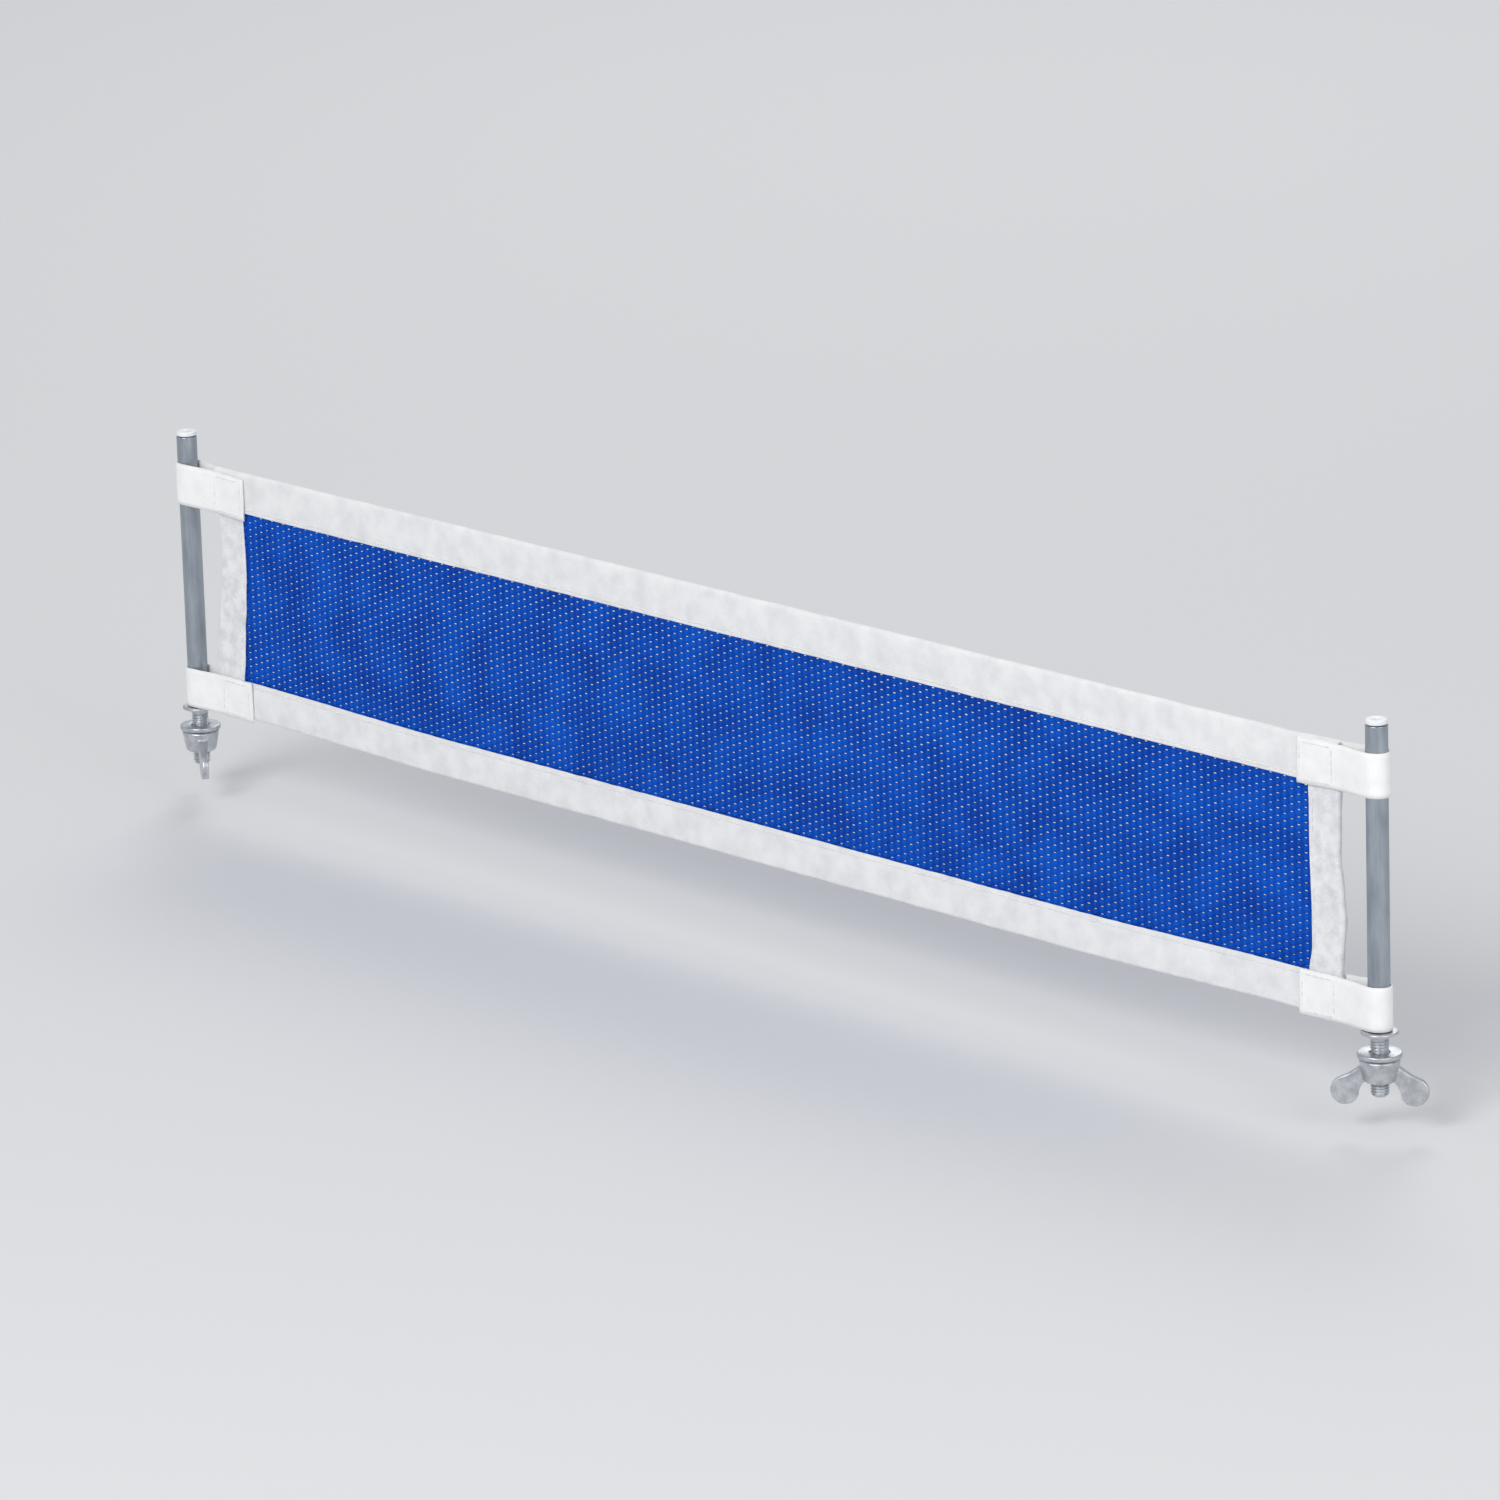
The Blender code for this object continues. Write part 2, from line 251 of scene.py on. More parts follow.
def face_outwards(mesh, weld=None):
    """Turns every face outwards, after joining the vertices that lie closer than weld."""
    bm = bmesh.new()
    bm.from_mesh(mesh)
    if weld:
        bmesh.ops.remove_doubles(bm, verts=bm.verts, dist=weld)
    bmesh.ops.recalc_face_normals(bm, faces=bm.faces)
    bm.to_mesh(mesh)
    bm.free()


def new_mesh(name, verts, faces):
    mesh = bpy.data.meshes.new(name)
    mesh.from_pydata([tuple(v) for v in verts], [], faces)
    mesh.validate()
    face_outwards(mesh)
    return mesh


def piece(name, verts, faces, body, slot, material, lay=None):
    """Makes a smooth-shaded mesh that rides on a body. lay gives each vertex its place in the cloth."""
    mesh = new_mesh(name, verts, faces)
    if lay is not None:
        attribute = mesh.attributes.new("lay", "FLOAT_VECTOR", "POINT")
        attribute.data.foreach_set("vector", np.asarray(lay, np.float32).ravel())
    mesh.shade_smooth()
    return dress(name, mesh, body, material)


def dress(name, mesh, body, material):
    """Puts a mesh into the scene, with its body and material."""
    mesh.materials.clear()
    mesh.materials.append(material)
    item = linked(name, mesh)
    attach(item, body)
    return item


def tube_faces(rings, size, start=0):
    """Quads that join rings of equal size, numbered from start, and a face over each end."""
    faces = []
    for r in range(rings - 1):
        for k in range(size):
            after = (k + 1) % size
            a = start + r * size
            faces.append((a + k, a + after, a + size + after, a + size + k))
    faces.append(tuple(start + k for k in reversed(range(size))))
    faces.append(tuple(start + (rings - 1) * size + k for k in range(size)))
    return faces


# Materials

def new_material(name, colour, roughness, metallic=0.0):
    material = bpy.data.materials.new(name)
    material.use_nodes = True
    shader = material.node_tree.nodes["Principled BSDF"]
    shader.inputs["Base Color"].default_value = (*colour, 1)
    shader.inputs["Roughness"].default_value = roughness
    shader.inputs["Metallic"].default_value = metallic
    return material, material.node_tree, shader


def add_node(tree, kind, **settings):
    node = tree.nodes.new(kind)
    for key, value in settings.items():
        if hasattr(node, key):
            setattr(node, key, value)
        else:
            node.inputs[key].default_value = value
    return node


def maths(tree, operation, *values):
    node = tree.nodes.new("ShaderNodeMath")
    node.operation = operation
    for socket, value in zip(node.inputs, values):
        if isinstance(value, (int, float)):
            socket.default_value = value
        else:
            tree.links.new(value, socket)
    return node.outputs[0]


def weighted(tree, *parts):
    """The sum of (value, weight) pairs."""
    total = 0.0
    for value, weight in parts:
        total = maths(tree, "MULTIPLY_ADD", value, weight, total)
    return total


def noise_value(tree, place, scale, detail):
    node = add_node(tree, "ShaderNodeTexNoise", Scale=scale, Detail=detail)
    tree.links.new(place, node.inputs["Vector"])
    return node.outputs["Fac"]


def add_colour(tree, shader, value, low, high, dark, light):
    """Colours the surface from dark to light as a value goes from low to high."""
    node = tree.nodes.new("ShaderNodeValToRGB")
    node.color_ramp.elements[0].position = low
    node.color_ramp.elements[1].position = high
    node.color_ramp.elements[0].color = (*dark, 1)
    node.color_ramp.elements[1].color = (*light, 1)
    tree.links.new(value, node.inputs["Fac"])
    tree.links.new(node.outputs["Color"], shader.inputs["Base Color"])


def add_roughness(tree, shader, value, weight, least):
    tree.links.new(maths(tree, "MULTIPLY_ADD", value, weight, least), shader.inputs["Roughness"])


def add_bump(tree, shader, height, strength, distance):
    bump = add_node(tree, "ShaderNodeBump", Strength=strength, Distance=distance)
    tree.links.new(height, bump.inputs["Height"])
    tree.links.new(bump.outputs["Normal"], shader.inputs["Normal"])


def place_in_cloth(tree):
    """How far along and how far across the cloth a point lies."""
    lay = tree.nodes.new("ShaderNodeAttribute")
    lay.attribute_name = "lay"
    parts = tree.nodes.new("ShaderNodeSeparateXYZ")
    tree.links.new(lay.outputs["Vector"], parts.inputs[0])
    return parts.outputs[0], parts.outputs[1]


def object_place(tree, stretch=(1, 1, 1)):
    place = tree.nodes.new("ShaderNodeTexCoord")
    scaling = add_node(tree, "ShaderNodeMapping", Scale=stretch)
    tree.links.new(place.outputs["Object"], scaling.inputs["Vector"])
    return scaling.outputs["Vector"]


def woven_height(tree, yarn_u, yarn_v):
    """Plain weave: round yarns that pass over and under each other, square by square."""
    u, v = (maths(tree, "DIVIDE", part, yarn)
            for part, yarn in zip(place_in_cloth(tree), (yarn_u, yarn_v)))
    round_u, round_v = (maths(tree, "ABSOLUTE", maths(tree, "SINE", maths(tree, "MULTIPLY", part, pi)))
                        for part in (u, v))
    squares = maths(tree, "ADD", maths(tree, "FLOOR", u), maths(tree, "FLOOR", v))
    over = maths(tree, "MODULO", maths(tree, "ABSOLUTE", squares), 2.0)
    under = maths(tree, "SUBTRACT", 1.0, over)
    return weighted(tree, (round_u, over), (round_v, under))


def cloth_material(name, dark, light, yarns, roughness, bump, patch_size):
    """White woven cloth: yarns, faint grey patches at random and fluff that catches the light."""
    material, tree, shader = new_material(name, light, roughness)
    weave = woven_height(tree, *yarns)
    patches = noise_value(tree, object_place(tree), 1 / patch_size, 3.0)
    fibres = noise_value(tree, object_place(tree), 2600.0, 3.0)
    shade = weighted(tree, (patches, 0.62), (weave, 0.14), (fibres, 0.24))
    add_colour(tree, shader, shade, 0.32, 0.62, dark, light)
    add_bump(tree, shader, weighted(tree, (weave, 1.0), (fibres, 0.8)), bump, 0.00012)
    shader.inputs["Sheen Weight"].default_value = 0.25
    shader.inputs["Sheen Roughness"].default_value = 0.6
    return material


def netting_material():
    """Royal blue polyester: fine filaments, painted light and shade up the columns of knots, and faint
    patches.
    """
    material, tree, shader = new_material("blue_netting_yarn", (0.001, 0.08, 0.52), 0.7)
    along, across = place_in_cloth(tree)
    turns = weighted(tree, (along, tau / FILAMENT_TWIST), (across, tau / FILAMENT_WIDTH))
    filaments = maths(tree, "SINE", turns)
    # Painted light and shade: the colour is lighter on each column of knots and darker half way between, in
    # place of the shading of the knit's relief.
    painted_column_shade = maths(tree, "COSINE", maths(tree, "MULTIPLY", along, tau / MESH_STEP))
    patches = noise_value(tree, object_place(tree), 70.0, 3.0)
    shade = weighted(tree, (patches, 1.0), (painted_column_shade, 0.10), (filaments, 0.09))
    add_colour(tree, shader, shade, 0.28, 0.74, (0.0003, 0.050, 0.40), (0.0016, 0.115, 0.68))
    add_bump(tree, shader, filaments, 0.6, 0.00009)
    shader.inputs["Specular IOR Level"].default_value = 0.10
    return material


def steel_material():
    """Satin tube, drawn along its length, with faint rub marks."""
    material, tree, shader = new_material("satin_post_steel", (0.39, 0.43, 0.48), 0.36, 1.0)
    lines = noise_value(tree, object_place(tree, (1, 1, 0.012)), 5200.0, 3.0)
    rubs = noise_value(tree, object_place(tree, (1, 1, 0.3)), 320.0, 4.0)
    shade = weighted(tree, (lines, 0.4), (rubs, 0.6))
    add_colour(tree, shader, shade, 0.36, 0.66, (0.31, 0.35, 0.395), (0.465, 0.51, 0.56))
    add_roughness(tree, shader, rubs, 0.22, 0.26)
    add_bump(tree, shader, lines, 0.18, 0.00003)
    return material


def nylon_material():
    """Moulded white nylon with a fine spark-eroded grain."""
    material, tree, shader = new_material("white_nylon_mould", (0.81, 0.82, 0.83), 0.42)
    grain = noise_value(tree, object_place(tree), 3800.0, 2.0)
    clouds = noise_value(tree, object_place(tree), 400.0, 2.0)
    add_colour(tree, shader, clouds, 0.3, 0.7, (0.77, 0.78, 0.79), (0.85, 0.86, 0.87))
    add_roughness(tree, shader, grain, 0.2, 0.34)
    add_bump(tree, shader, grain, 0.25, 0.00003)
    shader.inputs["Subsurface Weight"].default_value = 0.1
    shader.inputs["Subsurface Radius"].default_value = (0.0006, 0.0006, 0.0006)
    return material


def zinc_material(name, grain_scale, grain_bump):
    """Bright zinc plate: bluish, cloudy, with the base metal's grain under it."""
    material, tree, shader = new_material(name, (0.6, 0.62, 0.65), 0.38, 1.0)
    clouds = noise_value(tree, object_place(tree), 420.0, 4.0)
    grain = noise_value(tree, object_place(tree), grain_scale, 3.0)
    shade = weighted(tree, (clouds, 0.7), (grain, 0.3))
    add_colour(tree, shader, shade, 0.34, 0.66, (0.46, 0.48, 0.50), (0.70, 0.72, 0.75))
    add_roughness(tree, shader, clouds, 0.3, 0.24)
    add_bump(tree, shader, grain, grain_bump, 0.00004)
    return material


# Netting

def settled(x, z):
    """How far the net hangs at a point: flat on the board between ends that the loops hold up."""
    along = clamped((abs(x) - SAG_FLAT) / (SAG_END - SAG_FLAT))
    down = clamped((SAG_TOP - z) / (SAG_TOP - SAG_LOW))
    return -NET_SAG * down * (1 - s_curve(along))


def netting(material):
    """Knitted netting with six-sided holes: each strand meets the one above and the one below in turn."""
    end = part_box("side_tape_right")[0].x + MESH_UNDER_SIDE_TAPE
    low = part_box("bottom_tape")[1].z - MESH_UNDER_TAPE
    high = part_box("top_tape")[0].z + MESH_UNDER_TAPE
    columns = round(2 * end / MESH_STEP)
    rows = round((high - low) / MESH_RISE)
    verts, faces, lay = [], [], []

    def strayed(x, z):
        """A point of the netting with the small wander of knitted cloth, less near the tapes."""
        drift = MESH_DRIFT * sin(pi * clamped((z - low) / (high - low)))
        return (x + MESH_WANDER * smooth_noise(x * 260, z * 260, 3.1) + drift * smooth_noise(x * 34, 7.7),
                z + MESH_WANDER * smooth_noise(x * 300, z * 300, 9.4) + drift * smooth_noise(x * 21, 1.3))

    for row in range(rows + 1):
        start = len(verts)
        centre = low + (high - low) * row / rows
        middles = []
        for k in range(columns + 1):
            way = 1 if (k + row) % 2 else -1
            for beside_knot in (-KNOT_HALF_LENGTH, KNOT_HALF_LENGTH):
                x = -end + 2 * end * k / columns + beside_knot
                x, z = strayed(min(max(x, -end), end), centre + way * MESH_ZIGZAG)
                middles.append((x, way * WEAVE_DEPTH, z + settled(x, z), k * MESH_STEP + beside_knot))
        for x, y, z, along in middles:
            swell = 1 + STRAND_VARIATION * smooth_noise(x * 420, row * 3.7)
            for side in range(STRAND_SIDES):
                angle = tau * side / STRAND_SIDES
                across = STRAND_WIDTH / 2 * swell * cos(angle)
                verts.append((x, y + STRAND_THICKNESS / 2 * sin(angle), z + across))
                lay.append((along, across, row))
        faces.extend(tube_faces(len(middles), STRAND_SIDES, start))
    item = piece("netting", verts, faces, "net", "blue_netting", material, lay)
    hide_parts("net_mesh")


# Stitches

def holes_between(low, high):
    """Stitch middles: half way between the needle holes, which lie at whole multiples of the stitch."""
    first, last = int(np.ceil(low / STITCH_SPACE)), int(np.floor(high / STITCH_SPACE))
    return [(k + 0.5) * STITCH_SPACE for k in range(first, last)]


def stitch_row(verts, faces, points, out, along):
    """Short stitches pulled down into their needle holes. out is the cloth's outward side, along their run."""
    out, along = Vector(out), Vector(along).normalized()
    aside = out.cross(along)
    for point in points:
        start = len(verts)
        for r in range(STITCH_RINGS):
            share = r / (STITCH_RINGS - 1)
            full = min(1.0, STITCH_FULLNESS * sin(pi * share))
            middle = Vector(point) + along * (share - 0.5) * STITCH_SPACE * STITCH_SHARE
            middle += out * STITCH_RADIUS * (STITCH_RISE * full - STITCH_DEPTH)
            radius = STITCH_RADIUS * (STITCH_END_RADIUS + (1 - STITCH_END_RADIUS) * full)
            for k in range(STITCH_SIDES):
                angle = tau * k / STITCH_SIDES
                verts.append(middle + out * radius * cos(angle) + aside * radius * sin(angle))
        faces.extend(tube_faces(STITCH_RINGS, STITCH_SIDES, start))


def seam_half(t, extra):
    """Half the thickness between a tape's middles on its stitch line: least at the needle holes."""
    return SEAM_HALF + SEAM_PUFF * (0.5 - 0.5 * cos(tau * t / STITCH_SPACE)) + extra


# Tapes folded over the netting's edges

def eased(places, values, at):
    """A smooth value between given places."""
    for k in range(len(places) - 1):
        if at <= places[k + 1]:
            share = s_curve(clamped((at - places[k]) / (places[k + 1] - places[k])))
            return values[k] + (values[k + 1] - values[k]) * share
    return values[-1]


def no_offset(_):
    """Stands for an offset that a tape doesn't have."""
    return 0.0


def tape_leg(width, t, extra):
    """One side of a folded tape's middle line, as (half gap, reach from the open edge)."""
    points = []
    for share in TAPE_LEG_POINTS:
        reach = (width - TAPE_BULGE) * share
        from_seam = reach - STITCH_INSET
        drawn_in = np.exp(-(from_seam / SEAM_REACH) ** 2)
        pucker = PUCKER_DEPTH * smooth_noise(t * 330, reach * 160, width * 500)
        pucker *= np.exp(-(from_seam / PUCKER_REACH) ** 2)
        full = TAPE_BULGE * (TAPE_OPEN_BULGE + (1 - TAPE_OPEN_BULGE) * share) + pucker + extra * (1 - share)
        lip = LIP_DEPTH * max(0.0, 1 - reach / LIP_REACH)
        points.append((full + (seam_half(t, extra) - full) * drawn_in - lip, reach))
    return points


def folded_line(leg):
    """A folded tape's whole middle line: up one leg, round the fold and down the other."""
    half, reach = leg[-1]
    fold = [(half * cos(pi * k / FOLD_STEPS), reach + half * sin(pi * k / FOLD_STEPS))
            for k in range(1, FOLD_STEPS)]
    return [*leg, *fold, *((-h, r) for h, r in reversed(leg))]


def thickened(line, ply):
    """A ring at a distance of ply round a line, and how far along the line each of its points lies."""
    outer, inner, marks, mark = [], [], [], 0.0
    for k, point in enumerate(line):
        before = Vector(line[max(k - 1, 0)])
        run = (Vector(line[min(k + 1, len(line) - 1)]) - before).normalized()
        square = Vector((run.y, -run.x)) * ply
        outer.append(Vector(point) + square)
        inner.append(Vector(point) - square)
        mark += (Vector(point) - before).length
        marks.append(mark)
    rounding = Vector((0, ply * LIP_ROUNDING))
    ring = outer + [Vector(line[-1]) - rounding] + inner[::-1] + [Vector(line[0]) - rounding]
    return ring, marks + [marks[-1]] + marks[::-1] + [0.0]


def folded_tape(name, node, length, width, place, material, extra=no_offset, open_edge=no_offset,
                fold_edge=no_offset):
    """A folded tape drawn in along its stitches, with soft and slightly uneven edges.

    place turns (across the net, reach from the open edge, along the tape) into a point of the part.
    The last three give, for a distance along the tape, an extra half gap at the open edge and how far
    each edge strays outwards.
    """
    low, high = length
    stations = int((high - low) / TAPE_STATION) + 1
    verts, lay = [], []
    for s in range(stations):
        t = low + (high - low) * s / (stations - 1)
        stray_open = OPEN_EDGE_WANDER * smooth_noise(t * 190, width * 900) + open_edge(t)
        stray_fold = FOLD_EDGE_WANDER * smooth_noise(t * 120, width * 700) + fold_edge(t)
        sway = TAPE_SWAY * smooth_noise(t * 70, 4.2)
        line = [(h, r + stray_open * (1 - r / width) + stray_fold * r / width)
                for h, r in folded_line(tape_leg(width, t, extra(t)))]
        ring, marks = thickened(line, TAPE_PLY / 2)
        for point, mark in zip(ring, marks):
            verts.append(place(point.x + sway, point.y, t))
            lay.append((t, mark, 0))
    item = piece(name, verts, tube_faces(stations, len(ring)), "net", "white_tape", material, lay)
    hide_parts(node)
    return item


def tapes(material, side_material, thread):
    """Top, bottom and side tapes, each with a row of stitches on both faces."""
    top_low, top_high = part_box("top_tape")
    bottom_low, bottom_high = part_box("bottom_tape")
    side_low, side_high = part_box("side_tape_right")
    end = top_high.x
    side_width = side_high.x - side_low.x

    def over_side_tape(t):
        return OVER_SIDE_TAPE * clamped((abs(t) - side_low.x) / OVER_SIDE_TAPE_RUN + 0.5)

    def surface(t, extra=0.0):
        return seam_half(t, extra) + TAPE_PLY / 2

    def sewn(name, place, low, high, run):
        """A seam from low to high on both faces of a tape."""
        verts, faces = [], []
        middles = holes_between(low + SEAM_FROM_END, high - SEAM_FROM_END)
        for face in (-1, 1):
            stitch_row(verts, faces, [place(face, t) for t in middles], (0, face, 0), run)
        return piece(name, verts, faces, "net", "white_tape", thread)

    for level, edge, way, width in (("top", top_low.z, 1, top_high.z - top_low.z),
                                    ("bottom", bottom_high.z, -1, bottom_high.z - bottom_low.z)):
        def along_net(a, r, t):
            z = edge + way * r
            return t, a, z + settled(t, z)

        def stitch_place(face, t):
            return along_net(face * surface(t, over_side_tape(t)), STITCH_INSET, t)

        seam = sewn(f"{level}_tape_stitches", stitch_place, -end, end, (1, 0, 0))
        cloth = folded_tape(f"{level}_tape_cloth", f"{level}_tape", (-end, end), width, along_net,
                            material, extra=over_side_tape)

    low, high = side_low.z - SIDE_TUCK, side_high.z + SIDE_TUCK
    for end_name, side in ENDS:
        strays = SIDE_TAPE_STRAYS[end_name]

        def upright(a, r, t):
            return side * (end - side_width + r), a * SIDE_TAPE_GAP, t

        def open_edge(t):
            return eased(STRAY_HEIGHTS, strays["open"], t)

        def fold_edge(t):
            return eased(STRAY_HEIGHTS, strays["fold"], t)

        def side_stitch(face, t):
            return upright(face * surface(t), STITCH_INSET + open_edge(t) * SIDE_SEAM_STRAY, t)

        seam = sewn(f"side_tape_stitches_{end_name}", side_stitch, low, high, (0, 0, 1))
        cloth = folded_tape(f"side_tape_cloth_{end_name}", f"side_tape_{end_name}", (low, high), side_width,
                            upright, side_material, open_edge=open_edge, fold_edge=fold_edge)


# Loops round the posts

def loop_line(node, post_node, side):
    """A strap's middle seen from above: out along the tape's end, round the post and back."""
    low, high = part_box(node)
    post_low, post_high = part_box(post_node)
    post = abs(post_low.x + post_high.x) / 2
    radius = (post_high.y - post_low.y) / 2 + LOOP_GAP + STRAP_PLY / 2
    sewn_end = Vector((min(abs(low.x), abs(high.x)), LOOP_LEG))
    leaves = Vector((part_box("top_tape")[1].x + STRAP_PLY, LOOP_LEG))
    touch = tangent(leaves, Vector((post, 0)), radius, -1)
    points = [sewn_end, leaves]
    for k in range(ROUND_POST_STEPS + 1):
        angle = touch * (1 - k / ROUND_POST_STEPS)
        points.append(Vector((post + radius * cos(angle), radius * sin(angle))))
    points += [Vector((p.x, -p.y)) for p in reversed(points[:-1])]
    return [Vector((side * p.x, p.y)) for p in points], post


def evened(points, space):
    """A line's points set at even distances, with its corners eased."""
    lengths = np.cumsum([0.0] + [(b - a).length for a, b in zip(points, points[1:])])
    count = int(lengths[-1] / space) + 1
    at = np.linspace(0, lengths[-1], count)
    line = np.stack([np.interp(at, lengths, [p[axis] for p in points]) for axis in (0, 1)], 1)
    for _ in range(CORNER_EASINGS):
        softer = line.copy()
        softer[1:-1] = line[1:-1] * 0.5 + (line[:-2] + line[2:]) * 0.25
        line = softer
    return [Vector(p) for p in line], at


def loop(level, end, side, material, thread):
    """A smooth strap sewn over the tape's end and looped round the post, a little askew."""
    node, post_node = f"{level}_loop_{end}", f"post_tube_{end}"
    low_box, high_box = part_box(node)
    plan, post = loop_line(node, post_node, side)
    line, at = evened(plan, STRAP_STATION)
    sewn_end = abs(line[0].x)
    seed = low_box.z * 700 + side
    ply = STRAP_PLY / 2

    def edges(x):
        """The strap's lower and upper edge at a distance along the net."""
        away = clamped((abs(x) - sewn_end) / (post - sewn_end))
        return [edge + at_seam + (at_post - at_seam) * away
                for edge, at_post, at_seam in zip((low_box.z, high_box.z), *LOOP_STRAYS[node])]

    verts, lay = [], []
    for k, (point, distance) in enumerate(zip(line, at)):
        run = (line[min(k + 1, len(line) - 1)] - line[max(k - 1, 0)]).normalized()
        square = Vector((-run.y, run.x))
        low, high = edges(point.x)
        low += STRAP_WANDER * smooth_noise(distance * 260, seed)
        high += STRAP_WANDER * smooth_noise(distance * 240, seed + 5)
        ring_out, ring_in, marks = [], [], []
        for a in range(STRAP_STEPS + 1):
            share = a / STRAP_STEPS
            z = low + (high - low) * share
            full = min(min(share, 1 - share) / SELVEDGE_SHARE, 1.0)
            half = ply * (SELVEDGE_PLY + (1 - SELVEDGE_PLY) * full)
            middle = point + square * STRAP_RIPPLE * smooth_noise(distance * 180, z * 260, seed)
            ring_out.append((*(middle + square * half), z))
            ring_in.append((*(middle - square * half), z))
            marks.append((distance, z, 0))
        verts += ring_out + ring_in[::-1]
        lay += marks + marks[::-1]
    faces = tube_faces(len(line), 2 * (STRAP_STEPS + 1))
    cloth = piece(f"{level}_loop_strap_{end}", verts, faces, "net", "white_strap", material, lay)
    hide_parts(node)

    verts, faces = [], []
    inner, outer = sewn_end + STITCH_INSET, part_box("top_tape")[1].x - STITCH_INSET
    for face in (-1, 1):
        y = face * (LOOP_LEG + ply)
        for x in (inner, outer):
            low, high = edges(x)
            middles = holes_between(low + SEAM_FROM_SELVEDGE, high - SEAM_FROM_SELVEDGE)
            stitch_row(verts, faces, [(side * x, y, z) for z in middles], (0, face, 0), (0, 0, 1))
        for edge, inset in enumerate((STITCH_INSET, -STITCH_INSET)):
            points = [(side * x, y, edges(x)[edge] + inset) for x in holes_between(inner, outer)]
            stitch_row(verts, faces, points, (0, face, 0), (1, 0, 0))
    seam = piece(f"{level}_loop_stitches_{end}", verts, faces, "net", "white_strap", thread)


# Turned metal and nylon

def spun(columns, centre_x=0.0, ring=False):
    """The vertices and faces of a round shape, from one column of (radius, height) points for each step.

    A ring's columns are closed loops. Others run from pole to pole.
    """
    steps, size = len(columns), len(columns[0])
    verts, faces = [], []
    for step, column in enumerate(columns):
        angle = tau * step / steps
        for radius, z in column:
            radius = max(radius, POLE_RADIUS)
            verts.append((centre_x + radius * cos(angle), radius * sin(angle), z))
        here, there = step * size, ((step + 1) % steps) * size
        for k in range(size if ring else size - 1):
            after = (k + 1) % size
            faces.append((here + k, here + after, there + after, there + k))
    return verts, faces


def turned(name, node, columns, centre_x, body, slot, material, ring=False, sharp=35):
    """A round piece. Its edges over the sharp angle stay crisp."""
    item = piece(name, *spun(columns, centre_x, ring), body, slot, material)
    if not ring:
        face_outwards(item.data, POLE_WELD)
        item.data.shade_smooth()
    item.data.set_sharp_from_angle(angle=radians(sharp))
    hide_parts(node)


def rounded(corner, radius, start, end, steps=5):
    """A rounded corner of a turned profile, as (radius, height) points."""
    return [(corner[0] + radius * cos(start + (end - start) * k / steps),
             corner[1] + radius * sin(start + (end - start) * k / steps)) for k in range(steps + 1)]


def post_tube(end, centre, material):
    """A plain tube with its ends' edges rounded over."""
    node = f"post_tube_{end}"
    low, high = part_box(node)
    radius = (high.y - low.y) / 2
    edge = 0.00025
    profile = [*rounded((radius - edge, high.z - edge), edge, pi / 2, 0),
               *rounded((radius - edge, low.z + edge), edge, 0, -pi / 2),
               (radius - TUBE_WALL, low.z), (radius - TUBE_WALL, high.z)]
    turned(f"post_tube_steel_{end}", node, [profile] * TURN_STEPS, centre, "posts", "satin_steel", material,
           ring=True)


def post_cap(end, centre, material):
    """A push-in plug: crowned head, thin flash line and a shallow gate mark in its middle."""
    node = f"post_cap_{end}"
    low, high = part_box(node)
    radius = (high.y - low.y) / 2
    head = high.z - CAP_HEAD
    plug = radius - CAP_PLUG_INSET
    edge = 0.00045
    gate_inner, gate_outer, gate_bottom = 0.00045, 0.00060, high.z - 0.00012
    under_flash, flash_low, flash_high = radius - 0.00008, head + 0.00014, head + 0.00022
    chamfer_width, chamfer_height = 0.0005, 0.0006
    profile = [(0, gate_bottom), (gate_inner, gate_bottom), (gate_outer, high.z - 0.00002),
               (radius - edge, high.z), *rounded((radius - edge, high.z - edge), edge, pi / 2, 0)[1:],
               (radius, flash_high), (under_flash, flash_low), (under_flash, head),
               (plug, head), (plug, low.z + chamfer_height), (plug - chamfer_width, low.z), (0, low.z)]
    turned(f"post_cap_nylon_{end}", node, [profile] * TURN_STEPS, centre, "posts", "white_nylon", material)


def thread_cut(turn):
    """How deep a 60 degree thread is cut, as a share, where turn counts turns of the helix."""
    from_middle = abs(turn % 1.0 - 0.5) * 2
    return clamped((from_middle - THREAD_CREST) / THREAD_WALL)


def collar_stud(end, centre, material):
    """Collar, and a stud with its rolled thread cut as a helix into the surface."""
    node = f"collar_stud_{end}"
    low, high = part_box(node)
    collar = (high.y - low.y) / 2
    chamfer, upper_edge, lower_edge = 0.0005, 0.00035, 0.00012
    profile = [(0.0, high.z), (STUD_SPIGOT_RADIUS - chamfer, high.z), (STUD_SPIGOT_RADIUS, high.z - chamfer),
               (STUD_SPIGOT_RADIUS, COLLAR_THICKNESS),
               *rounded((collar - upper_edge, COLLAR_THICKNESS - upper_edge), upper_edge, pi / 2, 0),
               *rounded((collar - lower_edge, lower_edge), lower_edge, 0, -pi / 2),
               (STUD_RADIUS + STUD_FILLET, 0.0), (STUD_RADIUS, -STUD_FILLET), (STUD_RADIUS, THREAD_TOP)]
    rise = THREAD_PITCH / THREAD_LEVELS
    levels = int((THREAD_TOP - low.z) / rise)
    columns = []
    for step in range(STUD_STEPS):
        column = list(profile)
        for k in range(levels, -1, -1):
            z = low.z + rise * k
            depth = THREAD_DEPTH * clamped((THREAD_TOP - z) / THREAD_PITCH)
            cut = depth * thread_cut(z / THREAD_PITCH - step / STUD_STEPS)
            tip = max(STUD_RADIUS - STUD_TIP_CHAMFER + (z - low.z), STUD_TIP_RADIUS)
            column.append((min(STUD_RADIUS - cut, tip), z))
        columns.append(column + [(0.0, low.z)])
    turned(f"collar_stud_zinc_{end}", node, columns, centre, "posts", "zinc_steel", material, sharp=50)


